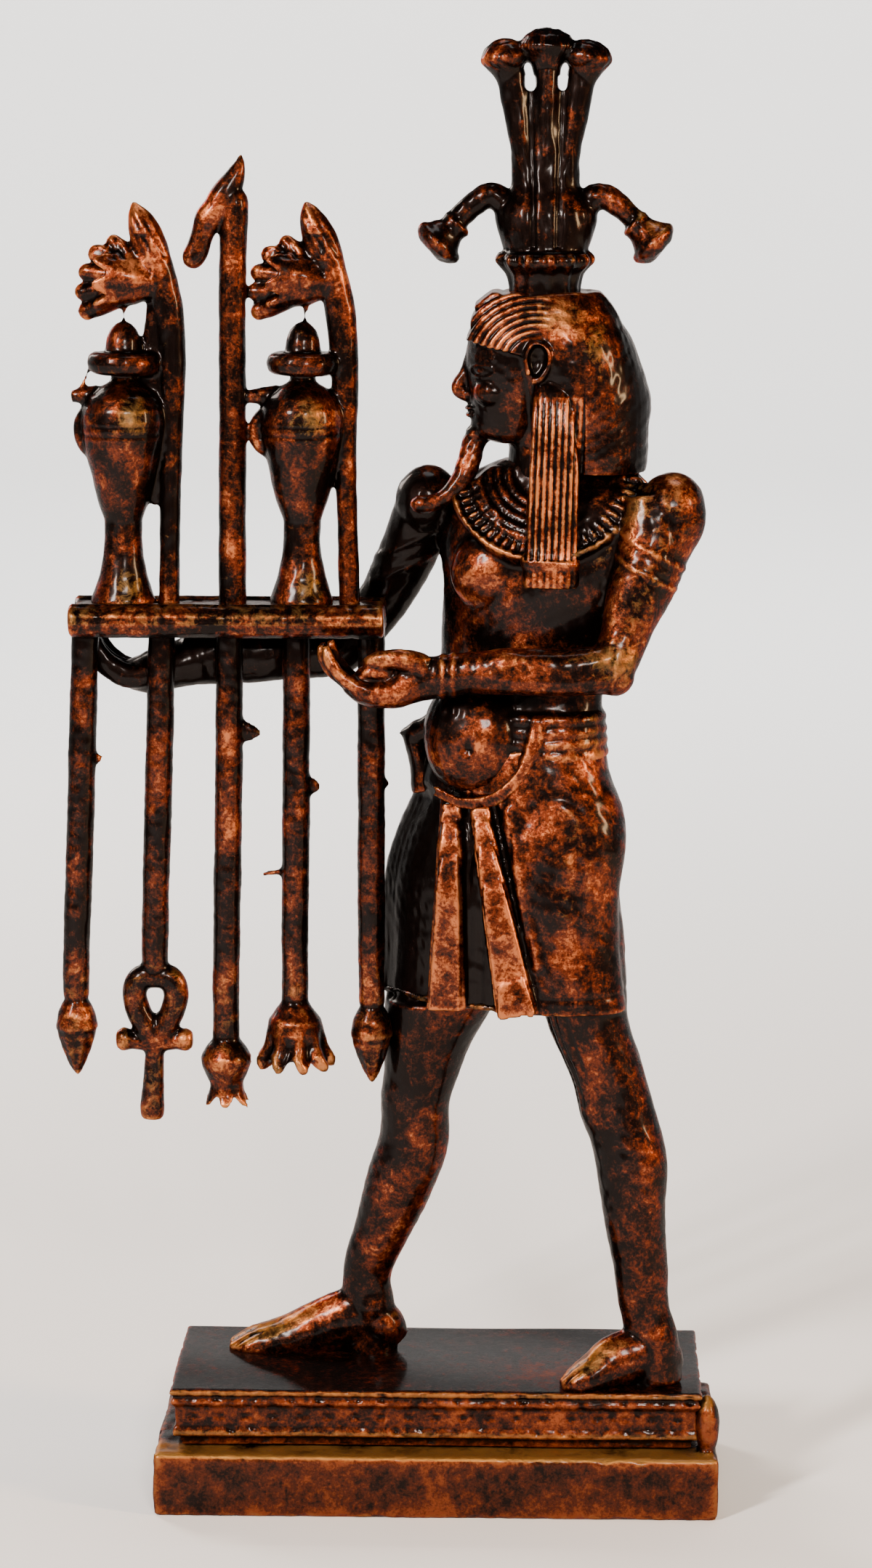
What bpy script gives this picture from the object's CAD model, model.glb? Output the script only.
import math

import bmesh
import bpy
import numpy as np
from mathutils import Matrix, Vector


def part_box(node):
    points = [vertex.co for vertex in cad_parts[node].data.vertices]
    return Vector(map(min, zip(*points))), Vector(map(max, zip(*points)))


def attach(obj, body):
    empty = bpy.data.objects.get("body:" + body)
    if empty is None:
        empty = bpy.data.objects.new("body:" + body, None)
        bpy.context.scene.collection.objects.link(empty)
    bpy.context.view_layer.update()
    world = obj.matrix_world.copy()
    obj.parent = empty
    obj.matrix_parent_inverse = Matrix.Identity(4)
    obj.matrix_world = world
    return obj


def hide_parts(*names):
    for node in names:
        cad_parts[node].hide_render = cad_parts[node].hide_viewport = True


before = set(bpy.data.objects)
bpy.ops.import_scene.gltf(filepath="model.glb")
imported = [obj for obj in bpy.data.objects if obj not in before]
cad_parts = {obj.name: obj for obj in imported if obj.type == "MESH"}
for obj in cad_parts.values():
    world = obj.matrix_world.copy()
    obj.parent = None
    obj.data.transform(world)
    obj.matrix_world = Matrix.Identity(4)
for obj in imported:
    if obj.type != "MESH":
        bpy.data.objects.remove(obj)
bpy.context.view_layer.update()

# Loose block under the statuette.
# Real piece: a slab of polyester resin, sawn and rounded by hand, that the cast is glued to.
# Cast in an open mould, so its sides are uneven, with a lump of set resin at one end.

# The figure is drawn at full size in millimetres on a sheet; this is how it is moved into place.
SHEET_TO_ROW = Matrix.Translation((-0.0005, -0.00075, 0.0004)) @ Matrix.Scale(0.001, 4)
ROW_TO_SHEET = SHEET_TO_ROW.inverted()


def steps(low, high, value):
    """0 below low, 1 above high, and a soft rise between them."""
    share = np.clip((value - low) / (high - low), 0, 1)
    return share * share * (3 - 2 * share)


def peak(value, middle, spread):
    """1 at the middle, and a soft fall on both sides of it."""
    return np.exp(-(((value - middle) / spread) ** 2))


def waves(run, pitch):
    """Even waves between 0 and 1, a pitch apart."""
    return 0.5 + 0.5 * np.cos(run * 2 * math.pi / pitch)


def ripple(points, size, seed):
    """Soft unevenness between about -1 and 1, with humps size millimetres across."""
    rng = np.random.default_rng(seed)
    total = np.zeros(len(points))
    for _ in range(7):
        way = rng.normal(size=3)
        way *= rng.uniform(0.7, 1.4) * 2 * math.pi / (size * np.linalg.norm(way))
        total += np.sin(points @ way + rng.uniform(0, 2 * math.pi))
    return total / 3.2


def skin_of(piece):
    """The points of a piece's skin and the way each faces, in sheet millimetres."""
    mesh = piece.data
    points = np.empty(len(mesh.vertices) * 3)
    facing = np.empty(len(mesh.vertices) * 3)
    mesh.vertices.foreach_get("co", points)
    mesh.vertex_normals.foreach_get("vector", facing)
    return points.reshape(-1, 3), facing.reshape(-1, 3)


def carve(piece, depth):
    """Moves every point along its normal by depth(points, facing), in millimetres."""
    points, facing = skin_of(piece)
    points = points + facing * depth(points, facing)[:, None]
    piece.data.vertices.foreach_set("co", points.ravel())
    piece.data.update()


def cast(bm, name, grain, polish=2):
    """Fuses the closed forms in bm into one skin of faces grain millimetres across."""
    bmesh.ops.remove_doubles(bm, verts=bm.verts, dist=1e-4)
    bmesh.ops.recalc_face_normals(bm, faces=bm.faces)
    raw = bpy.data.meshes.new(name)
    bm.to_mesh(raw)
    bm.free()
    piece = bpy.data.objects.new(name, raw)
    bpy.context.scene.collection.objects.link(piece)
    fuse = piece.modifiers.new("fuse", "REMESH")
    fuse.mode = "VOXEL"
    fuse.voxel_size = grain
    settle = piece.modifiers.new("settle", "SMOOTH")
    settle.factor = 0.5
    settle.iterations = polish
    graph = bpy.context.evaluated_depsgraph_get()
    skin = bpy.data.meshes.new_from_object(piece.evaluated_get(graph))
    piece.modifiers.clear()
    piece.data = skin
    bpy.data.meshes.remove(raw)
    skin.name = name
    return piece


def relaxed(piece, rounds):
    """The skin's points after that many rounds of averaging with their neighbours."""
    points, _ = skin_of(piece)
    ends = np.empty(len(piece.data.edges) * 2, dtype=np.int64)
    piece.data.edges.foreach_get("vertices", ends)
    one, other = ends[0::2], ends[1::2]
    count = np.bincount(ends, minlength=len(points))
    for _ in range(rounds):
        total = np.empty_like(points)
        for axis in range(3):
            column = points[:, axis]
            total[:, axis] = np.bincount(one, column[other], len(points))
            total[:, axis] += np.bincount(other, column[one], len(points))
        points = 0.3 * points + 0.7 * total / count[:, None]
    return points


def keep(piece, name, values):
    """Keeps one number at each point of the skin, for the piece's material to read."""
    layer = piece.data.attributes.new(name, "FLOAT", "POINT")
    layer.data.foreach_set("value", np.asarray(values, dtype=np.float32))


def fit_in(piece, node, material, copper, gold, reach=9, proud_size=0.3):
    """Paints a cast piece, moves it into the row frame and fixes it to the base body.
    copper and gold are functions of the points: how much of each is rubbed on there."""
    points, facing = skin_of(piece)
    proud = np.einsum("ij,ij->i", points - relaxed(piece, reach), facing)
    keep(piece, "proud", np.clip(proud / proud_size, -1, 1))
    keep(piece, "copper", np.clip(copper(points, facing), 0, 1))
    keep(piece, "gold", np.clip(gold(points, facing), 0, 1))
    piece.data.transform(SHEET_TO_ROW)
    piece.data.shade_smooth()
    piece.data.materials.clear()
    piece.data.materials.append(material)
    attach(piece, "root")
    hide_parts(node)


def srgb(code):
    """An sRGB hex colour as the linear red, green, blue and alpha of a socket."""
    channels = [int(code[i : i + 2], 16) / 255 for i in (1, 3, 5)]
    linear = [c / 12.92 if c <= 0.04045 else ((c + 0.055) / 1.055) ** 2.4 for c in channels]
    return (*linear, 1)


def add(tree, kind, inputs=None, stops=(), **settings):
    """Adds a node and gives it back. inputs are socket: value or the output to link, stops
    are a colour ramp's (position, grey or hex colour), and settings are properties."""
    node = tree.nodes.new("ShaderNode" + kind)
    for name, value in settings.items():
        setattr(node, name, value)
    for name, value in (inputs or {}).items():
        if isinstance(value, bpy.types.NodeSocket):
            tree.links.new(value, node.inputs[name])
        else:
            node.inputs[name].default_value = value
    for number, (position, value) in enumerate(stops):
        marks = node.color_ramp.elements
        mark = marks[number] if number < 2 else marks.new(position)
        mark.position = position
        mark.color = srgb(value) if isinstance(value, str) else (value, value, value, 1)
    return node


def bronzed_resin(name, black, brown, copper, bright, gold, gloss, wear):
    """Polyester resin sprayed black, rubbed with copper and gold wax, then varnished.
    To the eye: near-black hollows, ragged copper patches, gold on the crests, wet glints."""
    material = bpy.data.materials.new(name)
    material.use_nodes = True
    tree = material.node_tree
    tree.nodes.clear()
    where = add(tree, "TexCoord").outputs["Object"]
    proud = add(tree, "Attribute", attribute_name="proud").outputs["Fac"]
    copper_share = add(tree, "Attribute", attribute_name="copper").outputs["Fac"]
    gold_share = add(tree, "Attribute", attribute_name="gold").outputs["Fac"]

    # Sizes of the wax's clouds, patches and crumbs, in millimetres
    grain = {}
    for label, size, detail, rough, twist in (
        ("cloud", 6.0, 5, 0.62, 0.4),
        ("patch", 1.8, 5, 0.72, 0.6),
        ("streak", 1.5, 4, 0.65, 0.3),
        ("crumb", 0.5, 3, 0.65, 0.0),
    ):
        values = {"Vector": where, "Scale": 1000 / size, "Detail": detail}
        values |= {"Roughness": rough, "Distortion": twist}
        grain[label] = add(tree, "TexNoise", values).outputs["Fac"]

    # Wax catches where the surface is proud, and tears into ragged patches elsewhere.
    ragged = -1.55
    for label, share in (("cloud", 1.1), ("patch", 1.2), ("crumb", 0.8)):
        terms = {0: grain[label], 1: share, 2: ragged}
        ragged = add(tree, "Math", terms, operation="MULTIPLY_ADD").outputs[0]
    terms = {0: proud, 1: wear, 2: copper_share}
    amount = add(tree, "Math", terms, operation="MULTIPLY_ADD").outputs[0]
    amount = add(tree, "Math", {0: amount, 1: ragged}, operation="ADD").outputs[0]
    copper_mask = add(tree, "ValToRGB", {0: amount}, [(0.36, 0.0), (0.86, 1.0)]).outputs["Color"]
    terms = {0: grain["streak"], 1: 0.5, 2: -0.25}
    streaked = add(tree, "Math", terms, operation="MULTIPLY_ADD").outputs[0]
    streaked = add(tree, "Math", {0: amount, 1: streaked}, operation="ADD").outputs[0]
    tones = [(0.34, black), (1.0, bright), (0.50, brown), (0.74, copper)]
    tinted = add(tree, "ValToRGB", {0: streaked}, tones).outputs["Color"]

    terms = {0: proud, 1: 0.35, 2: gold_share}
    gold_amount = add(tree, "Math", terms, operation="MULTIPLY_ADD").outputs[0]
    gold_amount = add(tree, "Math", {0: gold_amount, 1: grain["patch"]}, operation="ADD").outputs[0]
    gold_amount = add(tree, "Math", {0: gold_amount, 1: 0.6}, operation="MULTIPLY").outputs[0]
    gold_mask = add(tree, "ValToRGB", {0: gold_amount}, [(0.46, 0.0), (0.80, 0.8)]).outputs["Color"]
    colour = add(tree, "Mix", {0: gold_mask, 6: tinted, 7: srgb(gold)}, data_type="RGBA").outputs[2]

    metal = add(tree, "Math", {0: copper_mask, 1: 0.15, 2: 0.82}, operation="MULTIPLY_ADD").outputs[0]
    shine = [(0.35, gloss), (0.7, gloss + 0.16)]
    dull = add(tree, "ValToRGB", {0: grain["patch"]}, shine).outputs["Color"]
    height = grain["patch"]
    for part, share in ((grain["crumb"], 0.7), (copper_mask, 0.3)):
        terms = {0: part, 1: share, 2: height}
        height = add(tree, "Math", terms, operation="MULTIPLY_ADD").outputs[0]
    pressed = {"Height": height, "Strength": 0.4, "Distance": 0.0002}
    relief = add(tree, "Bump", pressed).outputs["Normal"]
    shader = add(tree, "BsdfPrincipled", {
        "Base Color": colour, "Metallic": metal, "Roughness": dull, "Normal": relief,
        "Specular IOR Level": 0.3, "Specular Tint": srgb("#8E654C"),
        "Coat Weight": 0.2, "Coat Roughness": 0.15, "Coat IOR": 1.5,
    }).outputs["BSDF"]
    add(tree, "OutputMaterial", {"Surface": shader})
    return material


# the slab, its rounded edges, and the lump at its near right corner
block_low, block_high = (ROW_TO_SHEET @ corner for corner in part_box("plinth_block"))
BLOCK_HEIGHT = 11.0
block_floor = block_low.z
block_top = block_floor + BLOCK_HEIGHT
block_middle = (block_low + block_high) / 2
block_size = block_high - block_low

bm = bmesh.new()
slab = bmesh.ops.create_cube(bm, size=1)
bmesh.ops.scale(bm, verts=slab["verts"], vec=(block_size.x - 0.6, block_size.y - 0.6, BLOCK_HEIGHT))
bmesh.ops.translate(
    bm, verts=slab["verts"], vec=(block_middle.x, block_middle.y, block_floor + BLOCK_HEIGHT / 2)
)
bmesh.ops.bevel(
    bm, geom=bm.edges[:], offset=0.9, segments=3, profile=0.5, affect="EDGES", material=-1
)
LUMP_RADIUS = 2.2
lump_place = Vector((
    block_high.x - LUMP_RADIUS - 0.2, block_low.y + 3.2 + LUMP_RADIUS, block_top + 4.2,
))
bmesh.ops.create_uvsphere(
    bm, u_segments=24, v_segments=16, radius=1,
    matrix=Matrix.Translation(lump_place) @ Matrix.Diagonal((LUMP_RADIUS, 3.0, 5.8, 1)),
)
block = cast(bm, "loose_block", 0.6, 2)


def block_wear(points, facing):
    """The slab's faces are a little hollow and humped, and its upper edge is chipped."""
    edge = steps(0.3, 0.9, np.abs(facing[:, 2])) * steps(0.3, 0.9, np.hypot(facing[:, 0], facing[:, 1]))
    side = steps(0.5, 0.9, np.hypot(facing[:, 0], facing[:, 1]))
    chips = np.minimum(ripple(points, 4.0, 3), 0) * 0.5 * edge
    return side * (ripple(points, 22, 1) - 1) * 0.22 + ripple(points, 3.0, 2) * 0.05 + chips


carve(block, block_wear)
points, _ = skin_of(block)
points[:, 0] = np.clip(points[:, 0], block_low.x + 0.02, block_high.x - 0.02)
points[:, 1] = np.clip(points[:, 1], block_low.y + 0.02, block_high.y - 0.02)
points[:, 2] = np.maximum(points[:, 2], block_floor)
block.data.vertices.foreach_set("co", points.ravel())

rubbed_block = bronzed_resin(
    "rubbed_resin_block", "#100704", "#2E150A", "#4F210F", "#78391A", "#A97A3E", 0.42, 0.4
)


def block_copper(points, facing):
    front = steps(0.3, 0.8, -facing[:, 1])
    return 0.30 + 0.30 * front + 0.12 * ripple(points, 14, 4)


def block_gold(points, facing):
    ledge = steps(0.35, 0.8, facing[:, 2]) * steps(-6, -2, block_low.y + 3.5 - points[:, 1] - 0.5)
    return ledge * (0.75 + 0.25 * ripple(points, 9, 5))


fit_in(block, "plinth_block", rubbed_block, block_copper, block_gold)

# Plinth that is cast in one with the figure.
# Real piece: resin, cast in one with the feet: a slab whose sides carry two thin ridges over
# a row of pressed dents, with a deep groove below them; its top is left flat and dull.
PLINTH_TOP = 21.3
PLINTH_HEIGHT = 10.4
PLINTH_FLOOR = PLINTH_TOP - PLINTH_HEIGHT
PLINTH_LEFT, PLINTH_RIGHT = -45.0, 46.0
PLINTH_FRONT, PLINTH_BACK = -17.5, 19.0
DENT_PITCH = 4.6
middle_x = (PLINTH_LEFT + PLINTH_RIGHT) / 2
middle_y = (PLINTH_FRONT + PLINTH_BACK) / 2


def moulded(bm, rows):
    """A four-cornered slab drawn up through rows of (inset, height)."""
    ring = bmesh.ops.create_grid(bm, x_segments=1, y_segments=1, size=1)["verts"]
    faces = list({f for v in ring for f in v.link_faces})
    for number, (inset, height) in enumerate(rows):
        if number:
            grown = bmesh.ops.extrude_face_region(bm, geom=faces)["geom"]
            if number > 1:
                bmesh.ops.delete(bm, geom=faces, context="FACES_ONLY")
            faces = [f for f in grown if isinstance(f, bmesh.types.BMFace)]
            ring = [v for v in grown if isinstance(v, bmesh.types.BMVert)]
        for v in ring:
            from_middle = v.co.xy - (Vector((middle_x, middle_y)) if number else Vector((0, 0)))
            v.co.x = middle_x + math.copysign((PLINTH_RIGHT - PLINTH_LEFT) / 2 - inset, from_middle.x)
            v.co.y = middle_y + math.copysign((PLINTH_BACK - PLINTH_FRONT) / 2 - inset, from_middle.y)
            v.co.z = PLINTH_FLOOR + PLINTH_HEIGHT * height


bm = bmesh.new()
moulded(
    bm,
    [
        (1.8, 0.0), (1.8, 0.15), (0.7, 0.17), (0.5, 0.20), (0.5, 0.28), (0.8, 0.33), (0.9, 0.36),
        (0.9, 0.66), (0.6, 0.70), (0.2, 0.74), (0.2, 0.79), (0.7, 0.83), (0.6, 0.86), (0.1, 0.90),
        (0.0, 0.93), (0.1, 0.97), (0.5, 1.0),
    ],
)
plinth = cast(bm, "moulded_plinth", 0.34, 1)


def plinth_wear(points, facing):
    """Pressed dents along the band, and the slight waves of a plaster master."""
    side = steps(0.6, 0.9, np.hypot(facing[:, 0], facing[:, 1]))
    along = np.where(np.abs(facing[:, 1]) > 0.7, points[:, 0] - middle_x, points[:, 1] - middle_y)
    phase = (along / DENT_PITCH + 0.5) % 1 - 0.5
    band = PLINTH_FLOOR + PLINTH_HEIGHT * 0.53
    dent = np.exp(-((phase * DENT_PITCH / 0.9) ** 2) - ((points[:, 2] - band) / 0.55) ** 2)
    rim = np.exp(-((phase * DENT_PITCH / 1.7) ** 2) - ((points[:, 2] - band) / 1.15) ** 2)
    chips = np.minimum(ripple(points, 3.4, 12) + 0.3, 0) * 0.35 * side
    waves = ripple(points, 26, 10) * 0.10 - 0.1 + ripple(points, 2.4, 11) * 0.03 * side
    return side * (rim * 0.14 - dent * 0.5) + waves + chips


carve(plinth, plinth_wear)
bronzed = bronzed_resin(
    "bronzed_resin", "#0B0504", "#2C1309", "#642812", "#B8693C", "#AB7F45", 0.29, 0.5
)


def plinth_copper(points, facing):
    side = steps(0.3, 0.7, np.hypot(facing[:, 0], facing[:, 1]))
    flush = peak(points[:, 0], 18, 10) * peak(points[:, 1], -8, 9)
    return side * 0.60 + (1 - side) * (0.32 + 0.34 * flush)


def plinth_gold(points, facing):
    ridge = np.exp(-(((points[:, 2] - PLINTH_FLOOR) / PLINTH_HEIGHT - 0.93) / 0.06) ** 2)
    lower = np.exp(-(((points[:, 2] - PLINTH_FLOOR) / PLINTH_HEIGHT - 0.24) / 0.06) ** 2)
    return (ridge + lower) * 0.42 * steps(0.2, 0.6, -facing[:, 1])


rubbed_plinth = bronzed_resin(
    "rubbed_resin_plinth", "#100705", "#331509", "#60270F", "#8E4822", "#A2733A", 0.48, 0.45
)
fit_in(plinth, "statue", rubbed_plinth, plinth_copper, plinth_gold)

# Legs and kilt.
# Real piece: resin, cast in one with the plinth; the far leg advanced, bare feet flat on the
# plinth, a short wrapped kilt, with two ends of the sash hanging in front.


def flow(rings, rows):
    """Rings of (x, y, z, half width, half depth, turn), drawn out evenly along their path."""
    full = [(*r, r[3], 0) if len(r) == 4 else (*r, 0) if len(r) == 5 else r for r in rings]
    table = np.array(full, float)
    gaps = np.linalg.norm(np.diff(table[:, :3], axis=0), axis=1) + 1e-6
    slopes = np.diff(table, axis=0) / gaps[:, None]
    before, after = slopes[:-1], slopes[1:]
    weight = (gaps[1:] / (gaps[:-1] + gaps[1:]))[:, None]
    mean = before * weight + after * (1 - weight)
    most = 2.5 * np.minimum(np.abs(before), np.abs(after))
    # Half sizes never swing past their rings; the path may round a bend.
    mean[:, 3:] = np.where(before * after > 0, np.clip(mean, -most, most), 0)[:, 3:]
    tangents = np.vstack([slopes[:1], mean, slopes[-1:]])
    along = np.concatenate([[0], np.cumsum(gaps)])
    wanted = np.linspace(0, along[-1], rows + 1)
    part = np.clip(np.searchsorted(along, wanted, "right") - 1, 0, len(gaps) - 1)
    u = ((wanted - along[part]) / gaps[part])[:, None]
    g = gaps[part][:, None]
    a, b = table[part], table[part + 1]
    ma, mb = tangents[part] * g, tangents[part + 1] * g
    drawn = (2 * u**3 - 3 * u**2 + 1) * a + (u**3 - 2 * u**2 + u) * ma
    drawn += (3 * u**2 - 2 * u**3) * b + (u**3 - u**2) * mb
    return drawn


def limb(bm, rings, sides=24, level=False, flute=None, spacing=0.9, corner=1.0, slim=1.0):
    """A closed skin drawn through rings. A level one keeps its rings flat, another keeps
    them square to its path. flute(share along, angle) moves it out or in, a corner below 1
    squares the section, and slim below 1 draws the half sizes in."""
    if slim < 1:
        rings = [(*r[:3], *(round(half * slim, 2) for half in r[3:5]), *r[5:]) for r in rings]
    length = sum(math.dist(a[:3], b[:3]) for a, b in zip(rings, rings[1:]))
    rows = max(3, round(length / spacing))
    drawn = flow(rings, rows)
    drawn[:, 3:5] = np.maximum(drawn[:, 3:5], 0.05)
    paths = np.gradient(drawn[:, :3], axis=0)
    tube = bmesh.ops.create_cone(
        bm, cap_ends=True, segments=sides, radius1=1, radius2=1, depth=1
    )["verts"]
    long_edges = [
        e for e in dict.fromkeys(e for v in tube for e in v.link_edges)
        if abs(e.verts[0].co.z - e.verts[1].co.z) > 0.5
    ]
    inner = bmesh.ops.subdivide_edges(bm, edges=long_edges, cuts=rows - 1)["geom_inner"]
    inner = [v for v in inner if isinstance(v, bmesh.types.BMVert)]
    tube = list({end for v in inner for e in v.link_edges for end in e.verts})
    for v in tube:
        row = round((0.5 - v.co.z) * rows)
        x, y, z, wide, deep, turn = drawn[row]
        path = Vector((0, 0, 1)) if level else Vector(paths[row]).normalized()
        across = Vector((0, 1, 0)).cross(path).normalized()
        outward = path.cross(across).normalized()
        across, outward = (
            across * math.cos(turn) + outward * math.sin(turn),
            outward * math.cos(turn) - across * math.sin(turn),
        )
        grow = flute(row / rows, math.atan2(v.co.y, v.co.x)) if flute else 1
        over = math.copysign(abs(v.co.x) ** corner, v.co.x) * wide * grow
        out = math.copysign(abs(v.co.y) ** corner, v.co.y) * deep * grow
        v.co = Vector((x, y, z)) + across * over + outward * out


def lump(bm, x, y, z, a, b, c, turn=0):
    """A rounded mass at a point, with half sizes a, b and c."""
    place = Matrix.Translation((x, y, z)) @ Matrix.Rotation(turn, 4, "Z")
    place = place @ Matrix.Diagonal((a, b, c, 1))
    bmesh.ops.create_uvsphere(bm, u_segments=24, v_segments=16, radius=1, matrix=place)


def skin_depth(rings, x, z):
    """How far towards the viewer the skin of a level form stands, at a sheet x and z."""
    upper = next((i for i, r in enumerate(rings) if r[2] <= z), len(rings) - 1)
    high, low = rings[max(upper - 1, 0)], rings[max(upper, 0)]
    share = (high[2] - z) / ((high[2] - low[2]) or 1)
    cx, cy, _, a, b, turn = (p + (q - p) * share for p, q in zip(high, low))
    c, s = math.cos(turn), math.sin(turn)
    dx = x - cx
    q = s * s / a**2 + c * c / b**2
    h = dx * c * s * (1 / a**2 - 1 / b**2)
    k = dx * dx * (c * c / a**2 + s * s / b**2) - 1
    return cy + (-h - math.sqrt(max(h * h - q * k, 0))) / q


HIP_TURN = -0.5
KILT = [
    (13.8, -0.4, 131.0, 15.8, 10.6, HIP_TURN), (13.6, -0.4, 126.0, 17.3, 11.2, HIP_TURN),
    (13.8, -0.6, 120.4, 19.5, 11.6, HIP_TURN), (12.9, -0.8, 115.0, 21.2, 11.8, HIP_TURN),
    (11.3, -1.0, 107.5, 21.9, 11.6, HIP_TURN), (11.0, -1.2, 97.0, 22.3, 11.4, HIP_TURN),
    (11.3, -1.4, 86.6, 23.3, 11.4, HIP_TURN),
]
HEM = 86.6
SASH_TOP = 121.2

bm = bmesh.new()
# far leg, near leg
limb(bm, [
    (5.6, 4.6, 104, 11, 9), (2.6, 5.0, 91, 10.4, 8.8), (-0.9, 5.3, 81, 8.8, 7.8),
    (-2.5, 5.6, 72.5, 6.9, 6.4), (-3.4, 5.6, 66.5, 6.1, 5.9), (-3.9, 6.0, 59.5, 6.4, 6.2),
    (-6.6, 6.4, 51, 6.2, 5.8), (-9.7, 6.6, 42.5, 5.1, 4.8), (-12.2, 6.6, 34.6, 4.5, 3.8),
    (-11.9, 6.6, 28, 5, 4), (-11.7, 6.6, 20.4, 5.2, 4.2),
], 28, slim=0.95)
limb(bm, [
    (21.2, -4.6, 104, 11, 9), (24.6, -5.8, 92, 8.6, 8.2), (26.2, -6.6, 84, 7.1, 7),
    (29.3, -7.4, 75.4, 6.5, 6.2), (31.5, -8.0, 68.4, 6.3, 5.6), (33.5, -8.6, 60.5, 6.5, 5.8),
    (34.2, -9.2, 51, 5.6, 5.4), (35.2, -9.6, 42.5, 5, 4.6), (36.1, -9.8, 34.6, 4.5, 3.8),
    (37.4, -9.8, 28, 4.8, 3.9), (37.5, -9.8, 20.4, 5, 4),
], 28, slim=0.95)
# far foot, near foot, both with the heel to the right
limb(bm, [
    (-6.6, 6.6, 22.6, 2.4, 2.2), (-8.6, 6.6, 24.6, 4.2, 3.8), (-14.2, 6.6, 26.4, 6.1, 4.2),
    (-19.2, 6.9, 25.2, 5.4, 4.3), (-26.2, 7.3, 22.6, 4.3, 4.9), (-32.5, 7.4, 21.6, 3, 4.6),
    (-36.4, 7.2, 21.3, 1, 2.2),
], 20, spacing=0.7, slim=0.95)
limb(bm, [
    (41.2, -9.6, 22.6, 2.0, 2.0), (39.8, -9.7, 24.6, 3.5, 3.3), (35.8, -10.2, 26.0, 5.0, 3.8),
    (31.6, -11.0, 25.0, 4.9, 4.0), (27.6, -12.2, 23.3, 3.6, 4.2), (24.0, -13.2, 21.9, 2.3, 3.6),
    (21.9, -13.6, 21.3, 1.0, 1.9),
], 20, spacing=0.7)
# heels, which the resin fills down to the plinth
limb(bm, [(38.0, -10.2, 35, 1.6, 1.8), (38.4, -10.2, 29, 3.2, 3.6), (38.8, -10.2, 21.6, 4.0, 4.1)], 28)
limb(bm, [(-12.2, 6.6, 35, 1.6, 1.8), (-12.0, 6.8, 29, 3.4, 3.6), (-11.8, 7.0, 21.6, 4.4, 4.2)], 28)


def cloth_folds(share, angle):
    """Shallow folds that open towards the hem."""
    return 1 + 0.006 * share * math.sin(angle * 7 + 1.0)


limb(bm, KILT, 72, level=True, flute=cloth_folds, spacing=1.2)


def sash_end(bm, x_top, x_foot, half_top, half_foot, z_foot):
    """One end of the sash: a doubled ribbon that widens downwards and stands off the kilt."""
    rows = []
    for i in range(9):
        t = i / 8
        x, z = x_top + (x_foot - x_top) * t, SASH_TOP + (z_foot - SASH_TOP) * t
        y = skin_depth(KILT, x, z) - 0.6 - 1.0 * min(t * 3, 1)
        rows.append((x, y, z, half_top + (half_foot - half_top) * t, 0.95))
    limb(bm, rows, 32, corner=0.4)
    # the doubled edge of the ribbon
    seam = [(x + half * 0.72, y - 0.5, z, 0.45, 0.6) for x, y, z, half, _ in rows]
    limb(bm, seam, 12)


SASHES = [(2.8, 2.0, 1.5, 3.0, 86.4), (7.6, 14.2, 1.4, 3.3, 86.8)]
for sash in SASHES:
    sash_end(bm, *sash)
# a loose fold of the wrapped cloth beside the second end
fold = [(12.6 + i * 1.3, 121.5 - i * 6.7) for i in range(5)]
limb(bm, [(x, skin_depth(KILT, x, z) + 0.4, z, 1.1, 0.7) for x, z in fold], 12)
lower_half = cast(bm, "legs_and_kilt", 0.42, 3)


def toe_grooves(points, x0, x1, y0, pitch):
    """Grooves between the toes of a foot whose toes point to -X."""
    phase = ((points[:, 1] - y0) / pitch) % 1 - 0.5
    groove = np.exp(-((phase * pitch / 0.30) ** 2))
    reach = steps(x1, x0, points[:, 0]) * steps(PLINTH_TOP + 0.2, PLINTH_TOP + 0.9, points[:, 2])
    return -0.26 * groove * reach * (np.abs(points[:, 1] - y0) < 2.6 * pitch)


def in_sashes(x, z, margin):
    """One on the two ribbons of the sash, nought beside them."""
    within = 0
    for x_top, x_foot, half_top, half_foot, z_foot in SASHES:
        down = np.clip((SASH_TOP - z) / (SASH_TOP - z_foot), 0, 1)
        off = np.abs(x - x_top - (x_foot - x_top) * down) - half_top - (half_foot - half_top) * down
        long_enough = (z > z_foot - 1.5) & (z < SASH_TOP + 1)
        within = np.maximum(within, steps(margin + 0.5, margin, off) * long_enough)
    return within


def behind_sashes(x, z):
    """One on the kilt's hollow front, which ends where the wrapped cloth begins."""
    wrap = 10.6 + (SASH_TOP - z) * 0.20
    return steps(wrap + 0.8, wrap - 0.6, x) * steps(84.5, 86, z) * steps(124, 121, z)


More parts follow.
